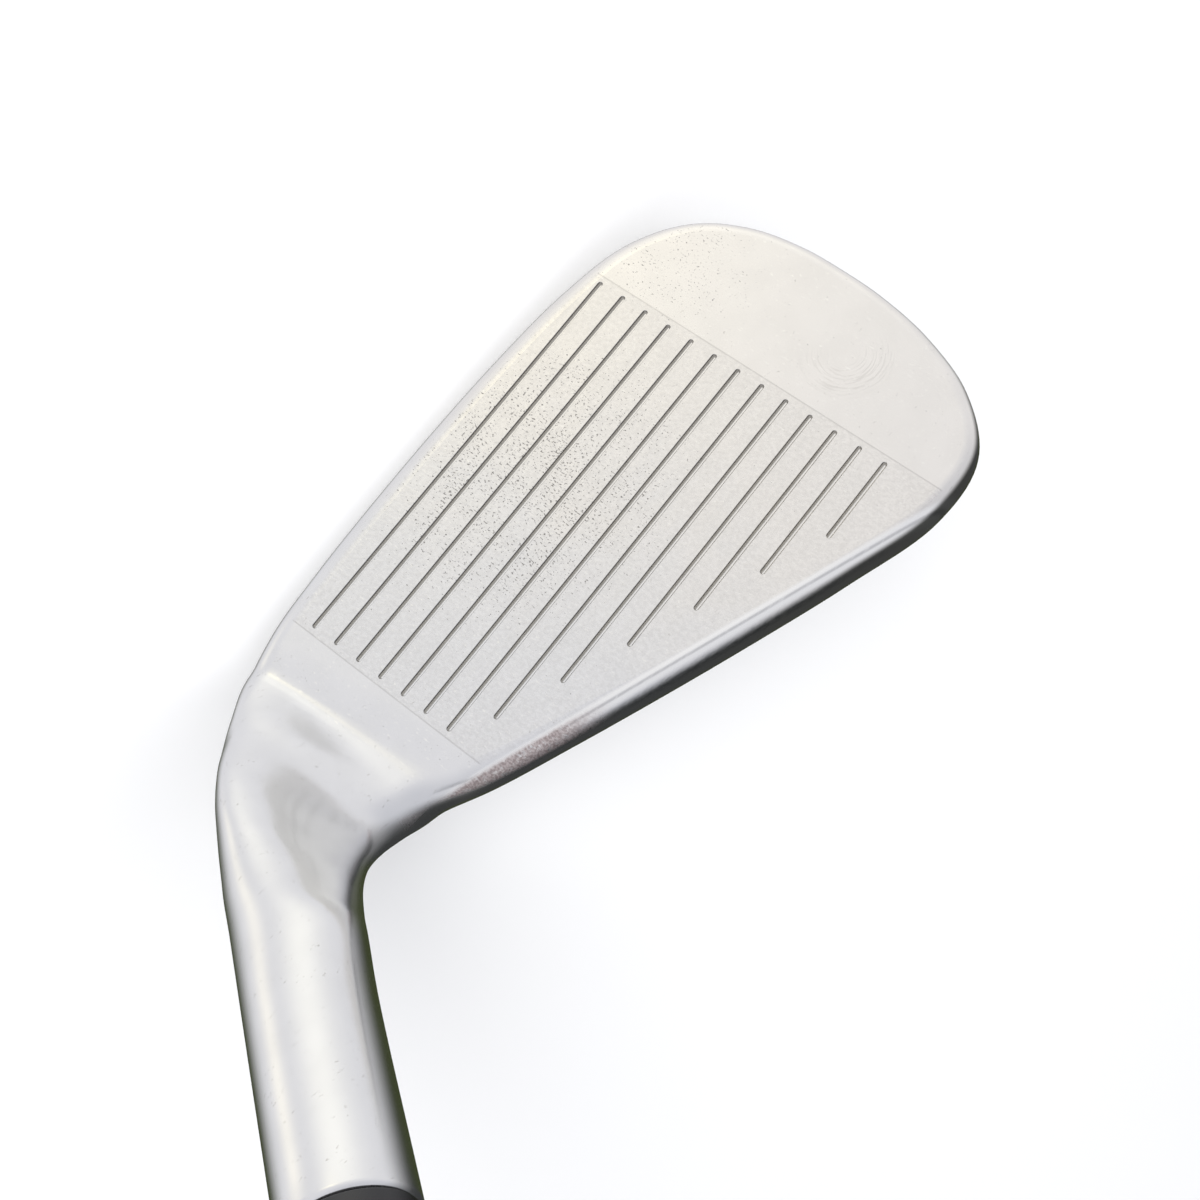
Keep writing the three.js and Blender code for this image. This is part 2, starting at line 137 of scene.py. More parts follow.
TOE_TIP = face_point(-45.5, 32.3)
RIBS = [
    (face_point(-45.3, 26), face_point(-45.1, 38.4)),
    (face_point(-43.8, 19), face_point(-43.6, 45.7)),
    (face_point(-40.2, 12.4), face_point(-40.3, 53.3)),
    (face_point(-33.5, 7.4), face_point(-34.7, 58.6)),
    (face_point(-24, 4.9), face_point(-26, 59.2)),
    (face_point(-12, 3.8), face_point(-14, 55.4)),
    (face_point(0, 3.4), face_point(-2, 50.8)),
    (face_point(12, 3.4), face_point(10, 45.9)),
    (face_point(22, 3.7), face_point(20, 41.6)),
    (face_point(31, 4.4), face_point(29, 37.5)),
    (face_point(39, 6.7), face_point(36.5, 33.1)),
    (np.array([45.3, -10, 11.9]), np.array([41.2, -0.4, 28.4])),
    (np.array([49.9, -9.4, 19.4]), np.array([44.3, -3.8, 32.4])),
    (np.array([54.1, -10, 25.6]), np.array([46.8, -7, 38.3])),
    (hosel_point(-36, -HOSEL_RADIUS), hosel_point(-31, HOSEL_RADIUS + 0.4)),
    (hosel_point(-24, -HOSEL_RADIUS), hosel_point(-24, HOSEL_RADIUS)),
    (hosel_point(-HOSEL_LIP, -HOSEL_RADIUS), hosel_point(-HOSEL_LIP, HOSEL_RADIUS)),
]
OUTLINE = [upper for _, upper in reversed(RIBS)] + [TOE_TIP] + [lower for lower, _ in RIBS]

SOLE_DEPTHS = [8, 8.4, 9.8, 12.6, 15.4, 17.4, 18.1, 18.2, 18.2, 18, 17.2, 15.8]
SOLE_SLOPES = [0, -2, -7, -13.5, -20, -24, -25, -25, -25, -25, -24.5, -23]
SOLE_EDGES = [1.7, 1.7, 1.8, 2.1, 2.6, 3, 3, 3, 3, 3, 3.2, 3.6]
TOP_DEPTHS = [8, 7.6, 6.9, 6.2, 5.8, 5.6, 5.6, 5.6, 5.6, 5.7, 6, 7]
TOP_SLOPES = [0, 0.5, 1, 1.5, 2, 2.5, 3.5, 5, 5.5, 5.5]
TOP_EDGES = [1.7, 1.7, 1.7, 1.7, 1.7, 1.7, 1.9, 2.1, 2.3, 2.6, 3, 3.3]

# The neck: the places along the ribs between which sections become round like the hosel, and
# how gently they leave the face; each also with its change from a section's middle to its ends.
NECK_START, NECK_START_LEAN = 10.75, 0.2
NECK_END, NECK_END_LEAN = 12.8, 0.4
NECK_SOFTNESS, NECK_SOFTNESS_LEAN = 1.4, 0.4

# How far along the ribs each section is evened out, and the places between which that reach
# grows and falls again.
NECK_BLEND = 0.8
NECK_BLEND_GROWS = (10.4, 11.4)
NECK_BLEND_FALLS = (15.2, 14.2)

CAMBER = math.radians(12)
REAR_EDGE_SHARE = 0.8
MUSCLE_BOTTOM = -0.25
MUSCLE_TOP = 0.48
SECTION_CORNERS = [math.radians(angle) for angle in (-125, -55, 55, 125, 235)]

# Where the flat face ends under the topline: the line up + TOPLINE_FALL * x = TOPLINE_EDGE.
TOPLINE_FALL = 0.41
TOPLINE_EDGE = 47.5

# How finely the visible head is drawn.
STEPS_PER_RIB = 10
EDGE_STEPS = 10
BAND_STEPS = 10
BACK_STEPS = 24
FACE_STEPS = 16
LIP_STEPS = 6
BORE_STEPS = 64
ROUND_STEPS = 48


def cubic(start, end, start_slope, end_slope, share):
    """A cubic from start to end with the given slopes, at a share of the way."""
    return (
        start
        + start_slope * share
        + (3 * (end - start) - 2 * start_slope - end_slope) * share**2
        + (2 * (start - end) + start_slope + end_slope) * share**3
    )


def value_at(values, place):
    """The value of a list at a place along the ribs, held at its last entry beyond its end."""
    place = min(place, len(values) - 1)
    index = min(int(place), len(values) - 2)
    before = values[max(index - 1, 0)]
    start, end = values[index], values[index + 1]
    after = values[min(index + 2, len(values) - 1)]
    return cubic(start, end, (end - before) / 2, (after - start) / 2, place - index)


def outline_point(place):
    """A point of the head's outline, at a place counted from the toe tip."""
    along = min(max(place + len(RIBS), 0), len(OUTLINE) - 1)
    index = min(int(along), len(OUTLINE) - 2)
    start, end = OUTLINE[index], OUTLINE[index + 1]
    before = OUTLINE[index - 1] if index > 0 else 2 * start - end
    after = OUTLINE[index + 2] if index + 2 < len(OUTLINE) else 2 * end - start
    first = math.sqrt(np.linalg.norm(start - before))
    middle = math.sqrt(np.linalg.norm(end - start))
    last = math.sqrt(np.linalg.norm(after - end))
    slope = (end - start) / middle
    start_slope = (start - before) / first - (end - before) / (first + middle) + slope
    end_slope = slope - (after - start) / (middle + last) + (after - end) / last
    return cubic(start, end, start_slope * middle, end_slope * middle, along - index)


def outline_tangent(place, step=0.003):
    return unit(outline_point(place + step) - outline_point(place - step))


def rim_profile(depth, slope, front_radius):
    """The rim in section, as [outward, depth] points from the face to the back."""
    rear_radius = front_radius * REAR_EDGE_SHARE
    start_angle = slope + CAMBER
    end_angle = slope - CAMBER
    edges = front_radius * (1 - math.sin(start_angle)) + rear_radius * (1 + math.sin(end_angle))
    band_radius = (depth - edges) / (2 * math.cos(slope) * math.sin(CAMBER))
    arcs = [
        (front_radius, math.pi / 2, start_angle, EDGE_STEPS),
        (band_radius, start_angle, end_angle, BAND_STEPS),
        (rear_radius, end_angle, -math.pi / 2, EDGE_STEPS),
    ]
    outward = -front_radius * math.cos(start_angle) - band_radius * (1 - math.cos(start_angle))
    if start_angle <= 0:
        outward = -front_radius
    inward = 0
    points = [(outward, inward)]
    for radius, begin, end, steps in arcs:
        for step in range(1, steps + 1):
            angle = mix(begin, end, step / steps)
            points.append((
                outward + radius * (math.cos(angle) - math.cos(begin)),
                inward + radius * (math.sin(begin) - math.sin(angle)),
            ))
        outward, inward = points[-1]
    return points


def back_points(sole, top, depth_axis):
    """The back, from the rear edge of the sole to the rear edge of the topline."""
    sole_depth = (sole - top) @ depth_axis
    points = []
    for step in range(1, BACK_STEPS):
        way = step / BACK_STEPS
        bulge = way - smoothstep(way, MUSCLE_BOTTOM, MUSCLE_TOP)
        points.append(mix(sole, top, way) + depth_axis * bulge * sole_depth)
    return points


def roundness(place, height=0):
    """The share by which a section is round like the hosel; height runs from -1 to 1 up it."""
    start = NECK_START + NECK_START_LEAN * height
    end = NECK_END + NECK_END_LEAN * height
    way = min(max((place - start) / (end - start), 0), 1)
    return 1 - (1 - way ** (NECK_SOFTNESS + NECK_SOFTNESS_LEAN * height)) ** 2


def section_angles(sole, back, top, face):
    """The angle round the hosel that belongs to each point of a section, from its four sides."""
    starts = [0, len(sole) - 1, len(sole) + len(back), len(sole) + len(back) + len(top) - 1]
    starts.append(len(sole) + len(back) + len(top) + len(face))
    angles = []
    for index in range(starts[-1]):
        side = max(i for i in range(4) if starts[i] <= index)
        along = (index - starts[side]) / (starts[side + 1] - starts[side])
        angles.append(mix(SECTION_CORNERS[side], SECTION_CORNERS[side + 1], along))
    return angles


def head_section(place):
    """One closed section of the head, at a place counted in ribs from the toe tip."""
    lower, upper = outline_point(place), outline_point(-place)
    share = roundness(place)
    axis = unit(upper - lower) if place > 0 else UP_FACE
    depth_axis = unit(mix(INTO_HEAD, BACKWARD, share))
    lower_out = unit(mix(unit(np.cross(INTO_HEAD, outline_tangent(place))), -axis, share))
    upper_out = unit(mix(unit(np.cross(INTO_HEAD, outline_tangent(-place))), axis, share))
    sole_rim = rim_profile(
        value_at(SOLE_DEPTHS, place), math.radians(value_at(SOLE_SLOPES, place)),
        value_at(SOLE_EDGES, place),
    )
    top_rim = rim_profile(
        value_at(TOP_DEPTHS, place), math.radians(value_at(TOP_SLOPES, place)),
        value_at(TOP_EDGES, place),
    )
    sole = [lower + out * lower_out + depth * depth_axis for out, depth in sole_rim]
    top = [upper + out * upper_out + depth * depth_axis for out, depth in reversed(top_rim)]
    back = back_points(sole[-1], top[0], depth_axis)
    face = [mix(top[-1], sole[0], step / FACE_STEPS) for step in range(1, FACE_STEPS)]

    centre = (lower + upper) / 2
    half_rib = np.linalg.norm(upper - lower) / 2
    section = []
    for point, angle in zip(sole + back + top + face, section_angles(sole, back, top, face)):
        on_hosel = (
            centre
            + axis * half_rib * math.sin(angle)
            + depth_axis * HOSEL_RADIUS * math.cos(angle)
            + BACKWARD * (HOSEL_END[1] - centre[1]) * math.cos(angle) ** 2
        )
        section.append(mix(point, on_hosel, roundness(place, math.sin(angle))))
    return np.array(section)


def even_section(place):
    """A section evened out with those beside it, which keeps the bend of the neck smooth."""
    reach = NECK_BLEND * smoothstep(place, *NECK_BLEND_GROWS) * smoothstep(place, *NECK_BLEND_FALLS)
    before, after = head_section(place - reach), head_section(place + reach)
    return (before + 2 * head_section(place) + after) / 4


def head_surface():
    """Rings of the head, from the toe tip to the rounded lip at the end of the hosel."""
    places = [step / STEPS_PER_RIB for step in range(len(RIBS) * STEPS_PER_RIB + 1)]
    rings = [even_section(place) for place in places]
    centre = hosel_point(-HOSEL_LIP, 0)
    mouth = rings[-1]
    for step in range(1, LIP_STEPS + 1):
        angle = math.pi / 2 * step / LIP_STEPS
        shrink = (HOSEL_RADIUS - HOSEL_LIP * (1 - math.cos(angle))) / HOSEL_RADIUS
        rise = ALONG_SHAFT * HOSEL_LIP * math.sin(angle)
        rings.append(centre + (mouth - centre) * shrink + rise)
    return rings


# ---- Mesh helpers --------------------------------------------------

def mesh_object(name, points, faces, smooth_angle=35):
    """A mesh object from points in millimetres, smooth except across sharp edges."""
    mesh = bpy.data.meshes.new(name)
    mesh.from_pydata([tuple(point) for point in np.asarray(points) * MM], [], faces)
    mesh.validate()
    made = bpy.data.objects.new(name, mesh)
    bpy.context.scene.collection.objects.link(made)
    shade_smooth(mesh, smooth_angle)
    return made


def shade_smooth(mesh, smooth_angle=35):
    mesh.shade_smooth()
    mesh.set_sharp_from_angle(angle=math.radians(smooth_angle))


def loft(rings, closed_ends=True, first_index=0):
    """Faces that join rings of equal length, each ring closed, with flat ends."""
    count = len(rings[0])
    faces = []
    for ring in range(len(rings) - 1):
        for index in range(count):
            following = (index + 1) % count
            start, end = first_index + ring * count, first_index + (ring + 1) * count
            faces.append((start + index, end + index, end + following, start + following))
    if closed_ends:
        last = first_index + (len(rings) - 1) * count
        faces.append(tuple(range(first_index, first_index + count)))
        faces.append(tuple(reversed(range(last, last + count))))
    return faces


def turned(name, profile, segments=64):
    """A piece turned on the shaft axis, from [radius, height] points of its closed section."""
    angles = [2 * math.pi * step / segments for step in range(segments)]
    points = [
        HOSEL_END
        + height * ALONG_SHAFT
        + radius * (math.cos(angle) * ACROSS_SHAFT - math.sin(angle) * BACKWARD)
        for angle in angles
        for radius, height in profile
    ]
    count = len(profile)
    faces = []
    for step in range(segments):
        here, there = step * count, (step + 1) % segments * count
        for index in range(count):
            after = (index + 1) % count
            faces.append((here + index, there + index, there + after, here + after))
    return mesh_object(name, points, faces)


def rounded(corner, before, after, radius, steps=5):
    """Points of a small arc that rounds a corner of a profile."""
    corner, before, after = (np.array(point, float) for point in (corner, before, after))
    start = corner + unit(before - corner) * radius
    end = corner + unit(after - corner) * radius
    arc = []
    for step in range(steps + 1):
        share = step / steps
        arc.append(tuple(mix(mix(start, corner, share), mix(corner, end, share), share)))
    return arc


def round_profile(profile, radii):
    """A closed profile with some corners rounded: radii maps a corner's index to its radius."""
    points = []
    for index, corner in enumerate(profile):
        if index in radii:
            after = profile[(index + 1) % len(profile)]
            points += rounded(corner, profile[index - 1], after, radii[index])
        else:
            points.append(corner)
    return points


def apply_modifiers(target):
    """Replaces the object's mesh by its mesh with modifiers, and removes them."""
    evaluated = target.evaluated_get(bpy.context.evaluated_depsgraph_get())
    mesh = bpy.data.meshes.new_from_object(evaluated)
    target.modifiers.clear()
    target.data = mesh


def subtract(target, cutter):
    """Cuts one object out of another, and removes the cutter."""
    cut = target.modifiers.new("cut", "BOOLEAN")
    cut.operation = "DIFFERENCE"
    cut.solver = "EXACT"
    cut.object = cutter
    apply_modifiers(target)
    bpy.data.objects.remove(cutter)


def settle(piece, material, slot, *nodes):
    """Gives a piece its material and lets it stand for its CAD nodes; the slot is not used."""
    piece.data.materials.clear()
    piece.data.materials.append(material)
    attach(piece, "root")
    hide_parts(*nodes)


# ---- Cuts in the head ----------------------------------------------

def circle(radius, steps):
    """Points of a circle round the origin."""
    angles = [2 * math.pi * step / steps for step in range(steps)]
    return [(radius * math.cos(angle), radius * math.sin(angle)) for angle in angles]


def square(half, height):
    """Corners of a level square round the origin."""
    return [
        np.array([x, y, height])
        for x, y in ((-half, -half), (half, -half), (half, half), (-half, half))
    ]


def stadium(toe_end, heel_end, height, radius, steps=8):
    """A slot outline in the face plane, from its toe end round its heel end and back."""
    points = []
    for centre, start in ((heel_end, -90), (toe_end, 90)):
        for step in range(steps + 1):
            angle = math.radians(start + 180 * step / steps)
            points.append((centre + radius * math.cos(angle), height + radius * math.sin(angle)))
    return points


# A score line in section: depths below the face, each with its share of the groove's width.
GROOVE_SECTION = [(-0.3, 1.2), (0, 1.2), (0.03, 1.08), (0.1, 1), (0.36, 0.72), (0.45, 0.45)]


def groove_rings(index):
    """A score line: a slot with sloping walls, a rounded lip and a round bottom."""
    cut_back = max(0, index - FULL_GROOVE_COUNT + FIRST_SHORT_SHARE) * SHORT_GROOVE_STEP
    toe_end = (GROOVE_WIDTH - SCORE_LENGTH) / 2
    heel_end = (SCORE_LENGTH - GROOVE_WIDTH) / 2 - cut_back
    height = FIRST_GROOVE_HEIGHT + index * GROOVE_PITCH
    rings = []
    for depth, share in GROOVE_SECTION:
        outline = stadium(toe_end, heel_end, height, GROOVE_WIDTH / 2 * share)
        rings.append([face_point(x, up, depth) for x, up in outline])
    return rings


def bezier(start, first_pull, second_pull, end, steps=16):
    """Points of a cubic Bezier curve, without its first."""
    curve = []
    for step in range(1, steps + 1):
        done = step / steps
        left = 1 - done
        towards_start = left**3 * start + 3 * left**2 * done * first_pull
        towards_end = 3 * left * done**2 * second_pull + done**3 * end
        curve.append(towards_start + towards_end)
    return curve


def cavity_outline(inset):
    """The outline of the cavity, x heelward and y up the face."""
    top_heel = np.array([24 - inset, 31.5 - inset])
    top_toe = np.array([-25 + inset, 51.8 - inset])
    toe = np.array([-37.2 + inset, 37])
    low_toe = np.array([-27.5 + inset, 20 + inset])
    low_heel = np.array([22 - inset, 17.5 + inset])
    reach = 4.5
    heel_curve = bezier(low_heel, low_heel + [reach, 0], top_heel + [reach, -reach], top_heel)
    top_curve = bezier(top_toe, top_toe + [-reach, reach / 2], toe + [0, 2 * reach], toe)
    toe_curve = bezier(toe, toe - [0, 2 * reach], low_toe - [reach, 0], low_toe)
    return [low_heel, *heel_curve, top_toe, *top_curve, *toe_curve]


def cavity_rings(levels):
    """Rings of the cavity's outline, from [inset, depth] levels."""
    return [[face_point(x, up, depth) for x, up in cavity_outline(inset)] for inset, depth in levels]


def toe_bar_rings(levels):
    """Rings round the toe weight's centre, from [radius, depth] levels."""
    x, up = TOE_WEIGHT_PLACE
    return [
        [face_point(x + along, up + rise, depth) for along, rise in circle(radius, ROUND_STEPS)]
        for radius, depth in levels
    ]


def bore_rings():
    """The hosel bore, open at the hosel's end."""
    return [
        [
            hosel_point(height, side) + back * BACKWARD
            for side, back in circle(BORE_RADIUS, BORE_STEPS)
        ]
        for height in (-BORE_DEPTH, CUTTER_REACH)
    ]


def ground_rings():
    """A block below ground level, where the sole is worn flat."""
    reach = 4 * CUTTER_REACH
    return [square(reach, height) for height in (-reach, 0)]


def head_cutters():
    """Every cut in the head as one object."""
    fillet = 1.2
    cuts = [groove_rings(index) for index in range(GROOVE_COUNT)]
    cuts.append(ground_rings())
    cuts.append(bore_rings())
    cuts.append(cavity_rings([
        (fillet, FACE_THICKNESS),
        (0.3 * fillet, FACE_THICKNESS + 0.3 * fillet),
        (0, FACE_THICKNESS + fillet),
        (0, CUTTER_REACH),
    ]))
    cuts.append(toe_bar_rings([
        (TOE_WEIGHT_RADIUS + BOND_GAP, FACE_THICKNESS),
        (TOE_WEIGHT_RADIUS + BOND_GAP, CUTTER_REACH),
    ]))
    points, faces = [], []
    for rings in cuts:
        faces += loft(rings, first_index=len(points))
        for ring in rings:
            points += list(ring)
    return mesh_object("head_cuts", points, faces)


def make_normals_outward(made):
    """Turns every face of a closed piece outward, once its doubled points are joined."""
    body = bmesh.new()
    body.from_mesh(made.data)
    bmesh.ops.remove_doubles(body, verts=body.verts, dist=1e-8)
    bmesh.ops.recalc_face_normals(body, faces=body.faces)
    body.to_mesh(made.data)
    body.free()


def flatten_face(mesh, least_match=0.999999):
    """Shades the flat of the face as one plane, whatever the roundings beside it do."""
    for polygon in mesh.polygons:
        if -INTO_HEAD @ np.array(polygon.normal) > least_match:
            polygon.use_smooth = False


def head():
    rings = head_surface()
    points = np.concatenate(rings)
    made = mesh_object("iron_head", points, loft(rings))
    make_normals_outward(made)
    cutters = head_cutters()
    make_normals_outward(cutters)
    subtract(made, cutters)
    shade_smooth(made.data, smooth_angle=52)
    flatten_face(made.data)
    return made


# ---- Materials -----------------------------------------------------

class Nodes:
    """A node tree, with short ways to add nodes to it."""

    def __init__(self, tree):
        self.tree = tree

    def add(self, kind, inputs=None, **settings):
        made = self.tree.nodes.new("ShaderNode" + kind)
        for key, value in settings.items():
            setattr(made, key, value)
        for key, value in (inputs or {}).items():
            self.connect(made.inputs[key], value)
        return made

    def connect(self, socket, value):
        if isinstance(value, bpy.types.NodeSocket):
            self.tree.links.new(value, socket)
        else:
            socket.default_value = value

    def math(self, operation, *values):
        inputs = dict(enumerate(values))
        return self.add("Math", inputs, operation=operation).outputs[0]

    def vector_math(self, operation, first, second, output=0):
        return self.add("VectorMath", {0: first, 1: second}, operation=operation).outputs[output]

    def ramp(self, value, low, high, start=0, end=1):
        """Maps value from low..high to start..end, smoothly and clamped."""
        return self.add("MapRange", {
            "Value": value,
            "From Min": low,
            "From Max": high,
            "To Min": start,
            "To Max": end,
        }, interpolation_type="SMOOTHSTEP").outputs[0]

    def window(self, value, low, high, soft):
        """1 where value lies between low and high, 0 outside, with soft borders."""
        rising = self.ramp(value, low - soft, low + soft)
        return self.product(rising, self.ramp(value, high - soft, high + soft, 1, 0))

    def product(self, first, *others):
        for other in others:
            first = self.math("MULTIPLY", first, other)
        return first

    def blend(self, share, first, second):
        """A colour between two others."""
        made = self.add("Mix", data_type="RGBA")
        self.connect(made.inputs["Factor"], share)
        self.connect(made.inputs[6], first)
        self.connect(made.inputs[7], second)
        return made.outputs[2]


class Surface(Nodes):
    """A material, with its coordinates and patterns."""

    def __init__(self, name, metallic=0):
        self.material = bpy.data.materials.new(name)
        self.material.use_nodes = True
        super().__init__(self.material.node_tree)
        self.shader = self.tree.nodes["Principled BSDF"]
        self.set("Metallic", metallic)

    def set(self, key, value):
        self.connect(self.shader.inputs[key], value)

    def position(self, rotation, origin):
        """Position in millimetres, in a frame turned by rotation about origin."""
        offset = Euler(rotation).to_matrix() @ Vector(origin)
        return self.add("Mapping", {
            "Vector": self.add("TexCoord").outputs["Object"],
            "Scale": (1 / MM, 1 / MM, 1 / MM),
            "Rotation": rotation,
            "Location": -offset,
        }).outputs[0]

    def face_position(self):
        """X heelward, Y behind the face and Z up the face."""
        return self.position((LOFT, 0, 0), (0, -FACE_SETBACK, 0))

    def shaft_position(self):
        """Z up the shaft axis from the hosel end."""
        return self.position((0, LIE - math.pi / 2, 0), HOSEL_END)

    def stretched(self, position, scale):
        return self.vector_math("MULTIPLY", position, scale)

    def noise(self, position, scale, detail=2, roughness=0.5, distortion=0):
        return self.add("TexNoise", {
            "Vector": position,
            "Scale": scale,
            "Detail": detail,
            "Roughness": roughness,
            "Distortion": distortion,
        }).outputs["Fac"]

    def bump(self, height, strength, distance):
        normal = self.add("Bump", {"Height": height, "Strength": strength, "Distance": distance})
        self.set("Normal", normal.outputs[0])


# Places on the steel: x counts heelward along the face and up counts up it.
FACE_SKIN = 0.12                    # how far from the face's plane its marks reach
SCORE_AREA_HALF = 28
BALL_WEAR = {"centre": (-2, 19), "reach": (27, 25)}
TOE_WEAR = {"centre": (-35, 15), "reach": (12, 16)}
SWIRL_CENTRE = (-36, 39)
SWIRL_RADII = (2, 5.5)
RUBBED_SPAN = (17, 37)              # along the topline
NECK_FADE = (28, 36)                # where the topline's edge fades into the neck


class HeadSteel(Surface):
    """Satin steel: a blasted score area, grooves with grime and painted shade, ball wear, and a
    rubbed topline.
    """

    def __init__(self):
        super().__init__("satin_steel", metallic=1)
        self.place = self.face_position()
        self.x, self.depth, self.up = self.add("SeparateXYZ", {0: self.place}).outputs[:3]
        along_top = self.math("MULTIPLY_ADD", self.x, TOPLINE_FALL, self.up)
        self.above_edge = self.math("SUBTRACT", along_top, TOPLINE_EDGE)
        self.face = self.window(self.depth, -FACE_SKIN, FACE_SKIN, 0.06)
        self.score_area = self.product(
            self.window(self.x, -SCORE_AREA_HALF, SCORE_AREA_HALF, 0.06), self.face)
        self.haze = self.noise(self.place, 0.25)
        self.strokes = self.grain((3.2, 1, 1.2), 3, 0.7)
        self.blasting = self.grain((2.2, 2, 1.5), 3, 0.75)
        self.fine = self.grain((4.4, 3, 2.6), 2, 0.6)
        self.coarse = self.grain((2.3, 1.4, 1.1), 4, 0.75)
        self.pits = self.ball_pits()
        self.rubbed = self.rubbed_patch()
        # score lines: grime with painted shade, and the darker painted shade of their lower wall
        self.grooves, self.painted_shade_lower_wall = self.groove_masks()

    def grain(self, scale, detail, roughness):
        """Noise with its own scale along each axis of the face."""
        return self.noise(self.stretched(self.place, scale), 1, detail, roughness)

    def squared_distance(self, centre, reach=(1, 1)):
        """Squared distance on the face from a centre, counted in reaches."""
        offsets = [
            self.math("MULTIPLY", self.math("SUBTRACT", axis, middle), 1 / half)
            for axis, middle, half in zip((self.x, self.up), centre, reach)
        ]
        return self.math("ADD", *[self.math("MULTIPLY", offset, offset) for offset in offsets])

    def spot(self, centre, reach):
        """1 at a centre on the face, falling to 0 at its reach."""
        return self.ramp(self.squared_distance(centre, reach), 0, 1, 1, 0)

    def ball_pits(self):
        """Small pits in clumps, thickest where balls are struck."""
        toe_wear = self.math("MULTIPLY", self.spot(**TOE_WEAR), 0.7)
        wear = self.math("MAXIMUM", self.math("MAXIMUM", self.spot(**BALL_WEAR), 0.2), toe_wear)
        clumped = self.math("MULTIPLY", wear, self.noise(self.place, 0.22, 3, 0.65))
        fine_pits = self.ramp(self.math("MULTIPLY_ADD", clumped, 0.3, self.fine), 0.74, 0.78)
        coarse_pits = self.ramp(
            self.math("MULTIPLY_ADD", clumped, 0.12, self.coarse), 0.715, 0.74)
        return self.product(self.math("MAXIMUM", fine_pits, coarse_pits), self.face)

    def polishing_swirl(self):
        """Faint rings that a polishing wheel left near the toe, on their heel side."""
        offsets = [
            self.math("SUBTRACT", axis, middle)
            for axis, middle in zip((self.x, self.up), SWIRL_CENTRE)
        ]
        radius = self.math("SQRT", self.squared_distance(SWIRL_CENTRE))
        rings = self.noise(self.add("CombineXYZ", {
            0: self.math("MULTIPLY", radius, 5),
            1: self.math("MULTIPLY", offsets[0], 0.4),
            2: self.math("MULTIPLY", offsets[1], 0.4),
        }).outputs[0], 1, 1)
        return self.product(
            self.ramp(rings, 0.45, 0.7),
            self.window(radius, *SWIRL_RADII, 1),
            self.ramp(self.math("ADD", *offsets), -3, 4, 0, 0.5),
        )

    def groove_masks(self):
        """Where the score lines carry grime and painted shade, and where their lower wall gets
        darker painted shade.
        """
        above_first = self.math("SUBTRACT", self.up, FIRST_GROOVE_HEIGHT)
        lines = self.math("DIVIDE", above_first, GROOVE_PITCH)
        offset = self.math("SUBTRACT", lines, self.math("ROUND", lines))
        across = self.math("MULTIPLY", offset, GROOVE_PITCH)
        towards_lip = self.math("MULTIPLY_ADD", self.depth, 0.35, across)
        # grime with painted shade across each score line
        grime_and_shade = self.product(
            self.window(self.depth, 0.035, GROOVE_DEPTH + 0.1, 0.015),
            self.math("LESS_THAN", self.math("ABSOLUTE", across), 0.6 * GROOVE_WIDTH),
            self.math("LESS_THAN", self.math("ABSOLUTE", self.x), SCORE_LENGTH / 2),
            self.math("LESS_THAN", self.above_edge, -1),
            self.window(lines, -0.5, GROOVE_COUNT - 0.5, 0.1),
            self.ramp(towards_lip, 0.08, 0.15, 1, 0),
        )
        return grime_and_shade, self.ramp(towards_lip, -0.22, -0.13, 1, 0)

    def rubbed_patch(self):
        """Where other clubs in the bag have rubbed the heel end of the topline."""
        return self.product(
            self.ramp(self.above_edge, 0.1, 0.7),
            self.window(self.depth, 0.05, 1.9, 0.3),
            self.window(self.x, *RUBBED_SPAN, 4),
            self.ramp(self.coarse, 0.3, 0.5),
        )

    def plain_colour(self):
        """Slightly hazy steel, from a warm toe to a cool heel."""
        cloud = self.noise(self.place, 0.06, 3, 0.6, 0.8)
        cool = self.ramp(self.math("MULTIPLY_ADD", cloud, 40, self.x), 0, 40)
        colour = self.blend(cool, (0.84, 0.815, 0.78, 1), (0.785, 0.785, 0.79, 1))
        hazy = self.blend(0.04, colour, (0.3, 0.3, 0.3, 1))
        return self.blend(self.ramp(self.haze, 0.3, 0.7), colour, hazy)

    def add_score_area(self, colour):
        """Adds the blasted area around the score lines, with a fine line at both its ends."""
        blasting = self.ramp(self.blasting, 0.35, 0.65, 0, 0.16)
        blasted = self.blend(blasting, colour, (0.35, 0.34, 0.33, 1))
        ends = [
            self.window(self.x, end - 0.08, end + 0.08, 0.08)
            for end in (-SCORE_AREA_HALF, SCORE_AREA_HALF)
        ]
        border = self.product(self.math("ADD", *ends), self.face, 0.3)
        colour = self.blend(self.score_area, colour, blasted)
        return self.blend(border, colour, (0.3, 0.29, 0.28, 1))

    def add_wear(self, colour):
        """Adds the polishing swirl, nicks, bright flecks and pits."""
        nicks = self.ramp(self.grain((0.9, 1, 2.1), 4, 0.8), 0.63, 0.67)
        scratches = self.product(self.math("MAXIMUM", self.polishing_swirl(), nicks), 0.35)
        flecks = self.product(self.ramp(self.strokes, 0.58, 0.7), self.face, 0.5)
        colour = self.blend(scratches, colour, (0.35, 0.33, 0.30, 1))
        colour = self.blend(flecks, colour, (0.96, 0.95, 0.90, 1))
        return self.blend(self.product(self.pits, 0.75), colour, (0.12, 0.11, 0.10, 1))

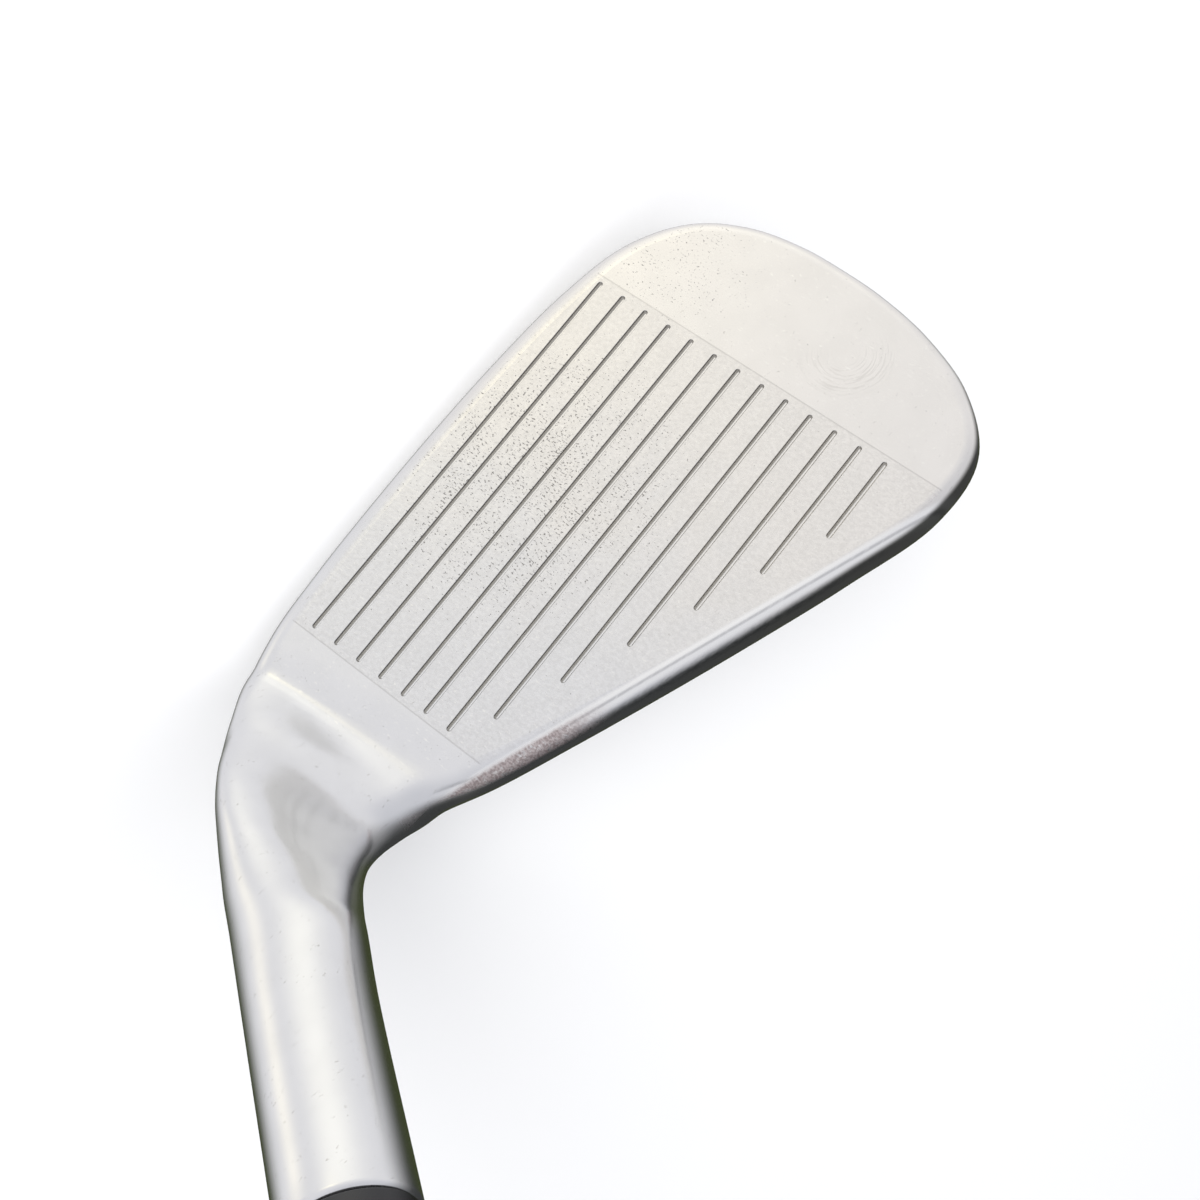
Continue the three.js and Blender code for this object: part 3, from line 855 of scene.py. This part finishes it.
    def add_topline(self, colour):
        """Adds a painted highlight on the topline's bevel, painted shade on its edge and in a dark
        line, and the rubbed patch.
        """
        streaks = self.grain((0.5, 3, 3), 3, 0.7)
        on_blade = self.ramp(self.x, *NECK_FADE, 1, 0)
        # painted highlight along the bevel
        painted_bevel_highlight = self.product(self.window(self.above_edge, 0.1, 1.5, 0.3), on_blade)
        # painted shade, streaked, on the edge behind the bevel
        painted_shade_edge = self.product(
            self.ramp(self.above_edge, 1.3, 2.3),
            self.ramp(streaks, 0.35, 0.65, 1, 0.4),
            on_blade,
            self.ramp(self.depth, 1, 2.5, 1, 0),
        )
        # painted shade in a thin dark line along the bevel
        painted_shade_line = self.product(
            self.window(self.above_edge, 0.75, 0.85, 0.25),
            self.ramp(streaks, 0.3, 0.5, 0.6, 1),
            on_blade,
        )
        # near-white painted highlight, grey painted shade and a dark painted shade line
        colour = self.blend(painted_bevel_highlight, colour, (0.99, 0.98, 0.95, 1))
        colour = self.blend(painted_shade_edge, colour, (0.34, 0.35, 0.36, 1))
        colour = self.blend(painted_shade_line, colour, (0.22, 0.22, 0.24, 1))
        speckle = self.ramp(self.fine, 0.4, 0.6)
        worn = self.blend(speckle, (0.40, 0.31, 0.30, 1), (0.68, 0.59, 0.57, 1))
        return self.blend(self.product(self.rubbed, 0.85), colour, worn)

    def add_grime_and_shade(self, colour):
        """Adds the grime and painted shade in the score lines, with darker painted shade on their
        lower wall.
        """
        # grey grime with painted shade on the groove, near black painted shade on its lower wall
        grime_and_shade_colour = self.blend(self.painted_shade_lower_wall, (0.58, 0.565, 0.53, 1), (0.17, 0.16, 0.145, 1))
        return self.blend(self.grooves, colour, grime_and_shade_colour)

    def roughness(self):
        rough = self.ramp(self.haze, 0.3, 0.7, 0.2, 0.225)
        for mask, extra in ((self.score_area, 0.05), (self.rubbed, 0.3), (self.grooves, 0.3)):
            rough = self.math("MULTIPLY_ADD", mask, extra, rough)
        return rough

    def relief(self):
        """Height of the blasting, strokes, pits and rubbed patch, for the bump."""
        blasted = self.product(self.math("SUBTRACT", self.blasting, 0.5), self.score_area)
        stroked = self.math("SUBTRACT", self.strokes, 0.5)
        height = self.math("MULTIPLY_ADD", stroked, 0.15, blasted)
        height = self.math("MULTIPLY_ADD", self.pits, -1.2, height)
        return self.math("MULTIPLY_ADD", self.product(self.rubbed, self.fine), 1.5, height)


def head_steel():
    steel = HeadSteel()
    colour = steel.plain_colour()
    for add_layer in (steel.add_score_area, steel.add_wear, steel.add_topline, steel.add_grime_and_shade):
        colour = add_layer(colour)
    steel.set("Base Color", colour)
    steel.set("Roughness", steel.roughness())
    steel.bump(steel.relief(), 0.3, 0.00004)
    return steel.material


def turned_metal(name, colour, roughness, relief=0.00003):
    """Metal with fine turning rings round the shaft axis and slightly uneven colour."""
    metal = Surface(name, metallic=1)
    position = metal.shaft_position()
    rings = metal.noise(metal.stretched(position, (0.15, 0.15, 6)), 1, 3, 0.6)
    cloud = metal.noise(position, 0.05, 2)
    darker = tuple(0.94 * channel for channel in colour[:3]) + (1,)
    metal.set("Base Color", metal.blend(metal.ramp(cloud, 0.3, 0.7), colour, darker))
    metal.set("Roughness", metal.ramp(rings, 0.3, 0.7, roughness * 0.85, roughness * 1.2))
    metal.bump(rings, 0.15, relief)
    return metal.material


def moulded(name, colour, roughness, scale, relief):
    """Rubber, plastic or resin with a fine grain and slightly uneven colour."""
    made = Surface(name)
    position = made.shaft_position()
    grain = made.noise(position, scale, 4, 0.6)
    cloud = made.noise(position, scale * 0.06, 3)
    lighter = tuple(min(1, 1.25 * channel + 0.01) for channel in colour[:3]) + (1,)
    made.set("Base Color", made.blend(made.ramp(cloud, 0.3, 0.7), colour, lighter))
    made.set("Roughness", made.ramp(grain, 0.3, 0.7, roughness * 0.85, min(1, roughness * 1.15)))
    made.bump(grain, 0.3, relief)
    return made.material


def badge_metal():
    """Dark anodised aluminium, brushed along the face."""
    badge = Surface("anodised_badge", metallic=1)
    position = badge.face_position()
    brush = badge.noise(badge.stretched(position, (0.15, 4, 5)), 1, 3, 0.6)
    share = badge.ramp(brush, 0.3, 0.7)
    badge.set("Base Color", badge.blend(share, (0.20, 0.21, 0.23, 1), (0.30, 0.31, 0.33, 1)))
    badge.set("Roughness", badge.ramp(brush, 0.3, 0.7, 0.3, 0.45))
    badge.bump(brush, 0.15, 0.00003)
    return badge.material


def band_film():
    """Plain printed film: a dark field between two pale rings."""
    film = Surface("band_film")
    position = film.shaft_position()
    height = film.add("SeparateXYZ", {0: position}).outputs[2]
    off_middle = film.math("ABSOLUTE", film.math("SUBTRACT", height, band_middle()))
    rings = film.window(off_middle, 8.5, 10, 0.05)
    film.set("Base Color", film.blend(rings, (0.03, 0.04, 0.06, 1), (0.6, 0.6, 0.62, 1)))
    film.set("Roughness", film.ramp(film.noise(position, 1.5), 0.3, 0.7, 0.35, 0.5))
    return film.material


# ---- Turned pieces -------------------------------------------------

def step_radius(step):
    return mix(TIP_RADIUS, BUTT_RADIUS, step / STEP_COUNT)


def step_start(step):
    return FIRST_STEP_HEIGHT + (step - 1) * STEP_SPACING


def band_middle():
    return (step_start(STEP_COUNT - 1) + STEP_RISE + step_start(STEP_COUNT)) / 2


def ferrule():
    """A plain tapered collar with rounded edges."""
    inner = TIP_RADIUS + BOND_GAP
    base = HOSEL_RADIUS - BOND_GAP
    top = FERRULE_TOP_RADIUS
    profile = [
        (inner, BOND_GAP),
        (base, BOND_GAP),
        (base - 0.06, 0.2 * FERRULE_LENGTH),
        (base - 0.25, 0.4 * FERRULE_LENGTH),
        (base - 0.45, 0.6 * FERRULE_LENGTH),
        (top + 0.25, 0.85 * FERRULE_LENGTH),
        (top, FERRULE_LENGTH),
        (inner, FERRULE_LENGTH),
    ]
    return turned("ferrule_collar", round_profile(profile, {1: 0.25, 6: 0.5}), 96)


def shaft():
    """The hollow shaft, with its steps softly rounded."""
    top = BUTT_HEIGHT - CAP_THICKNESS
    profile = [(TIP_RADIUS, -TIP_INSERTION)]
    for step in range(1, STEP_COUNT + 1):
        low = (step_radius(step - 1), step_start(step))
        high = (step_radius(step), step_start(step) + STEP_RISE)
        below = (low[0], low[1] - STEP_RISE)
        above = (high[0], high[1] + STEP_RISE)
        profile += rounded(low, below, high, 0.5, 3)
        profile += rounded(high, low, above, 0.5, 3)
    profile += [
        (BUTT_RADIUS, top),
        (BUTT_RADIUS - WALL_THICKNESS, top),
        (BUTT_RADIUS - WALL_THICKNESS, step_start(STEP_COUNT) + STEP_SPACING),
        (TIP_RADIUS - WALL_THICKNESS, step_start(1)),
        (TIP_RADIUS - WALL_THICKNESS, -TIP_INSERTION),
    ]
    return turned("stepped_shaft", profile)


def shaft_band():
    """The plain band around the shaft, between two of its steps."""
    inner = step_radius(STEP_COUNT - 1) + BOND_GAP
    outer = inner + BAND_THICKNESS
    bottom = band_middle() - BAND_LENGTH / 2
    top = band_middle() + BAND_LENGTH / 2
    profile = [(inner, bottom), (outer, bottom), (outer, top), (inner, top)]
    return turned("label_band", round_profile(profile, {1: 0.08, 2: 0.08}))


# The grip's moulded pattern, with heights above the grip's mouth.
PATTERN_START = 8
PATTERN_END = GRIP_LENGTH - 22
PANEL_LENGTH = 60
PLAIN_RING_WIDTH = 5
RING_GROOVE_DEPTH = 0.25
DIAMONDS_ROUND = 10
DIAMOND_PITCH = 8
DIAMOND_DEPTH = 0.45


def grip_radius(height):
    """Outer radius of the grip at a height above its mouth."""
    heights = [0, 0.22 * GRIP_LENGTH, 0.6 * GRIP_LENGTH, 0.89 * GRIP_LENGTH, GRIP_LENGTH - 5]
    radii = [
        GRIP_MOUTH_RADIUS,
        GRIP_MOUTH_RADIUS + 0.5,
        GRIP_MOUTH_RADIUS + 1.6,
        GRIP_BUTT_RADIUS - 1.2,
        GRIP_BUTT_RADIUS,
    ]
    return float(np.interp(height, heights, radii))


def grip():
    """The grip, with rows of moulded dimples cut into its surface."""
    inner = BUTT_RADIUS + 2 * BOND_GAP + TAPE_THICKNESS
    mouth = BUTT_HEIGHT - GRIP_LENGTH
    butt = BUTT_HEIGHT - BOND_GAP
    seat = BUTT_HEIGHT - CAP_THICKNESS + BOND_GAP
    heights = [float(height) for height in np.arange(2, GRIP_LENGTH - 7, 1.1)]
    profile = [
        (inner, mouth),
        (GRIP_MOUTH_RADIUS - 0.8, mouth),
        (GRIP_MOUTH_RADIUS - 0.25, mouth + 0.4),
    ]
    first_row = len(profile)
    profile += [(grip_radius(height), mouth + height) for height in heights]
    profile += [
        (GRIP_BUTT_RADIUS, butt - 5),
        (GRIP_BUTT_RADIUS - 0.1, butt - 3),
        (GRIP_BUTT_RADIUS - 0.5, butt - 1.5),
        (GRIP_BUTT_RADIUS - 1, butt - 0.5),
        (GRIP_BUTT_RADIUS - 1.8, butt),
        (CAP_RADIUS + BOND_GAP, butt),
        (CAP_RADIUS + BOND_GAP, seat),
        (inner, seat),
    ]
    segments = 120
    made = turned("grip_sleeve", profile, segments)
    count = len(profile)
    for step in range(segments):
        for row, height in enumerate(heights, first_row):
            vertex = made.data.vertices[step * count + row]
            axis_point = Vector(hosel_point(mouth + height, 0) * MM)
            inward = (axis_point - vertex.co).normalized()
            vertex.co += inward * grip_pattern(360 * step / segments, height) * MM
    return made


def grip_pattern(angle, height):
    """Depth of the moulded pattern: diamonds in long panels, between grooved plain rings."""
    if height < PATTERN_START or height > PATTERN_END:
        return 0.0
    above_ring = height % PANEL_LENGTH
    if above_ring < PLAIN_RING_WIDTH:
        return RING_GROOVE_DEPTH if 1.5 < above_ring < 3.5 else 0.0
    across = math.cos(math.radians(DIAMONDS_ROUND * angle))
    along = math.cos(2 * math.pi * height / DIAMOND_PITCH)
    return DIAMOND_DEPTH * smoothstep(across * along, 0.2, 0.55)


def grip_cap():
    """The end cap: a disc with a vent hole and a shallow ring in its top."""
    bottom = BUTT_HEIGHT - CAP_THICKNESS + 2 * BOND_GAP
    profile = [
        (VENT_RADIUS, bottom),
        (CAP_RADIUS, bottom),
        (CAP_RADIUS, BUTT_HEIGHT),
        (8.2, BUTT_HEIGHT),
        (8.0, BUTT_HEIGHT - 0.4),
        (7.4, BUTT_HEIGHT - 0.4),
        (7.2, BUTT_HEIGHT),
        (VENT_RADIUS, BUTT_HEIGHT),
    ]
    return turned("grip_end_cap", round_profile(profile, {2: 0.6, 7: 0.3}))


def toe_weight():
    """The plug in the toe, with a rounded edge and a small turning centre."""
    near = FACE_THICKNESS + BOND_GAP
    far = near + TOE_WEIGHT_LENGTH
    rings = toe_bar_rings([
        (TOE_WEIGHT_RADIUS, near),
        (TOE_WEIGHT_RADIUS, far - 0.4),
        (TOE_WEIGHT_RADIUS - 0.1, far - 0.12),
        (TOE_WEIGHT_RADIUS - 0.4, far),
        (1.4, far),
        (1.2, far - 0.1),
        (0.9, far - 0.6),
    ])
    made = mesh_object("toe_plug", np.concatenate(rings), loft(rings))
    make_normals_outward(made)
    return made


def cavity_badge():
    """A thin plate with a chamfered edge and a sunk field."""
    near = FACE_THICKNESS + 2 * BOND_GAP + PAD_THICKNESS
    far = near + BADGE_THICKNESS
    rings = cavity_rings([
        (BADGE_INSET, near),
        (BADGE_INSET, far - 0.25),
        (BADGE_INSET + 0.08, far - 0.08),
        (BADGE_INSET + 0.25, far),
        (2.6, far),
        (2.75, far - 0.06),
        (2.85, far - 0.3),
    ])
    made = mesh_object("cavity_plate", np.concatenate(rings), loft(rings))
    make_normals_outward(made)
    return made


def dress_hidden_nodes():
    """Materials for the CAD nodes that stay: pieces inside the club."""
    finishes = {
        "damping_pad": moulded("pad_elastomer", (0.02, 0.02, 0.022, 1), 0.8, 1.5, 0.0001),
        "hosel_epoxy": moulded("cured_epoxy", (0.55, 0.45, 0.22, 1), 0.35, 0.8, 0.00005),
        "tip_weight": turned_metal("turned_brass", (0.72, 0.55, 0.25, 1), 0.3),
        "grip_tape": moulded("paper_tape", (0.78, 0.74, 0.62, 1), 0.85, 2.5, 0.0001),
    }
    for name, material in finishes.items():
        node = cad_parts[name]
        node.data.materials.clear()
        node.data.materials.append(material)


# ---- Studio --------------------------------------------------------

# Bright windows that the metal mirrors: azimuth from the front towards the heel, elevation,
# sharpness and colour.
WINDOWS = [
    (-42, -18, 9, (0.35, 0.34, 0.26)),
    (25, -50, 50, (0.40, 0.36, 0.23)),
    (-16, -6, 60, (0.50, 0.45, 0.24)),
]


def floor():
    made = mesh_object("floor", square(ROOM_RADIUS, 0), [(0, 1, 2, 3)])
    pale = Surface("pale_floor")
    position = pale.add("TexCoord").outputs["Object"]
    shade = pale.ramp(pale.noise(position, 3, 3), 0.3, 0.7)
    pale.set("Base Color", pale.blend(shade, (0.93, 0.93, 0.92, 1), (0.95, 0.95, 0.95, 1)))
    pale.set("Roughness", 0.9)
    made.data.materials.append(pale.material)
    made.visible_glossy = False


def backdrop():
    """A pale glowing dome beyond the floor. The steel mirrors the room outside it instead."""
    rings = []
    for elevation in range(-10, 90, 5):
        height = ROOM_RADIUS * math.sin(math.radians(elevation))
        radius = ROOM_RADIUS * math.cos(math.radians(elevation))
        rings.append([np.array([x, y, height]) for x, y in circle(radius, ROUND_STEPS)])
    made = mesh_object("backdrop", np.concatenate(rings), loft(rings))
    glow = Surface("pale_backdrop")
    shade = glow.ramp(glow.noise(glow.add("TexCoord").outputs["Object"], 0.3), 0.3, 0.7)
    glow.set("Base Color", (0, 0, 0, 1))
    glow.set("Emission Color", glow.blend(shade, (0.84, 0.85, 0.87, 1), (0.88, 0.88, 0.89, 1)))
    glow.set("Emission Strength", 1)
    glow.material.cycles.emission_sampling = "NONE"
    made.data.materials.append(glow.material)
    made.visible_glossy = False
    made.visible_diffuse = False
    made.visible_shadow = False


def surroundings():
    """What the metal mirrors: a bright room in front of and above the club, a dark one behind
    it with grass below, and warm windows."""
    world = bpy.data.worlds.new("studio")
    bpy.context.scene.world = world
    world.use_nodes = True
    room = Nodes(world.node_tree)
    direction = room.add("TexCoord").outputs["Generated"]
    axes = room.add("SeparateXYZ", {0: direction}).outputs
    heel_side = room.math("MULTIPLY_ADD", axes[0], 0.35, 0.25)
    below = room.math("MAXIMUM", room.math("MULTIPLY", axes[2], -1), 0)
    downward = room.math("MULTIPLY", below, heel_side)
    behind = room.math("ADD", room.math("MULTIPLY", axes[1], 0.89), downward)
    light = room.blend(room.ramp(axes[2], 0.3, 1), (0.9, 0.9, 0.93, 1), (0.72, 0.73, 0.78, 1))
    grass, shadow = (0.05, 0.06, 0.025, 1), (0.05, 0.052, 0.052, 1)
    dark = room.blend(room.ramp(axes[2], -0.45, -0.15), grass, shadow)
    light = room.blend(room.ramp(behind, 0.05, 0.75), light, dark)
    for azimuth, elevation, sharpness, colour in WINDOWS:
        turn, rise = math.radians(azimuth), math.radians(elevation)
        centre = (
            math.sin(turn) * math.cos(rise),
            -math.cos(turn) * math.cos(rise),
            math.sin(rise),
        )
        facing = room.vector_math("DOT_PRODUCT", direction, centre, "Value")
        glow = room.math("POWER", room.math("MAXIMUM", facing, 0), sharpness)
        light = room.vector_math("ADD", light, room.vector_math("MULTIPLY", colour, glow))
    room.tree.links.new(light, room.tree.nodes["Background"].inputs["Color"])


def softbox(name, centre, width, height, watts):
    """A soft light aimed at the head, in metres, which the metal doesn't mirror."""
    light = bpy.data.lights.new(name, "AREA")
    light.shape = "RECTANGLE"
    light.size = width
    light.size_y = height
    light.energy = watts
    made = bpy.data.objects.new(name, light)
    made.location = centre
    made.rotation_euler = (-Vector(centre)).to_track_quat("-Z", "Y").to_euler()
    made.visible_glossy = False
    bpy.context.scene.collection.objects.link(made)


def camera():
    """The photograph's viewpoint: above and in front of the face, with the shaft towards us."""
    place = Vector((39.34, -130.82, 178.2)) * MM
    forward = Vector((-0.1704, 0.658, -0.7335)).normalized()
    right = Vector((-0.6164, 0.5096, 0.6003))
    right = (right - forward * right.dot(forward)).normalized()
    up = right.cross(forward)
    data = bpy.data.cameras.new("camera")
    data.sensor_width = 36
    data.lens = 53.11
    data.clip_start = 0.01
    made = bpy.data.objects.new("camera", data)
    turn = Matrix((right, up, -forward)).transposed()
    made.matrix_world = Matrix.Translation(place) @ turn.to_4x4()
    bpy.context.scene.collection.objects.link(made)
    bpy.context.scene.camera = made


def club():
    tungsten = turned_metal("tungsten_plug", (0.28, 0.28, 0.29, 1), 0.35)
    plastic = moulded("ferrule_black", (0.006, 0.006, 0.007, 1), 0.16, 0.8, 0.00001)
    chrome = turned_metal("shaft_chrome", (0.88, 0.88, 0.89, 1), 0.1, 0.00001)
    grip_rubber = moulded("grip_rubber", (0.018, 0.018, 0.02, 1), 0.7, 3, 0.0001)
    cap_rubber = moulded("cap_rubber", (0.03, 0.03, 0.033, 1), 0.6, 3, 0.00006)
    settle(head(), head_steel(), "head_steel", "head_body")
    settle(toe_weight(), tungsten, "weight_metal", "toe_weight")
    settle(cavity_badge(), badge_metal(), "badge_aluminium", "cavity_badge")
    settle(ferrule(), plastic, "ferrule_black", "ferrule")
    settle(shaft(), chrome, "shaft_chrome", "shaft")
    settle(shaft_band(), band_film(), "band_vinyl", "shaft_band")
    settle(grip(), grip_rubber, "grip_rubber", "grip")
    settle(grip_cap(), cap_rubber, "cap_rubber", "grip_cap")
    dress_hidden_nodes()


def studio():
    bpy.context.scene.view_settings.view_transform = "Standard"
    floor()
    backdrop()
    surroundings()
    softbox("fill", (0.3, -1.1, 1.2), 0.7, 0.7, 16)
    softbox("overhead", (0.1, 0.1, 1.6), 1.6, 1.2, 5)
    camera()


club()
studio()
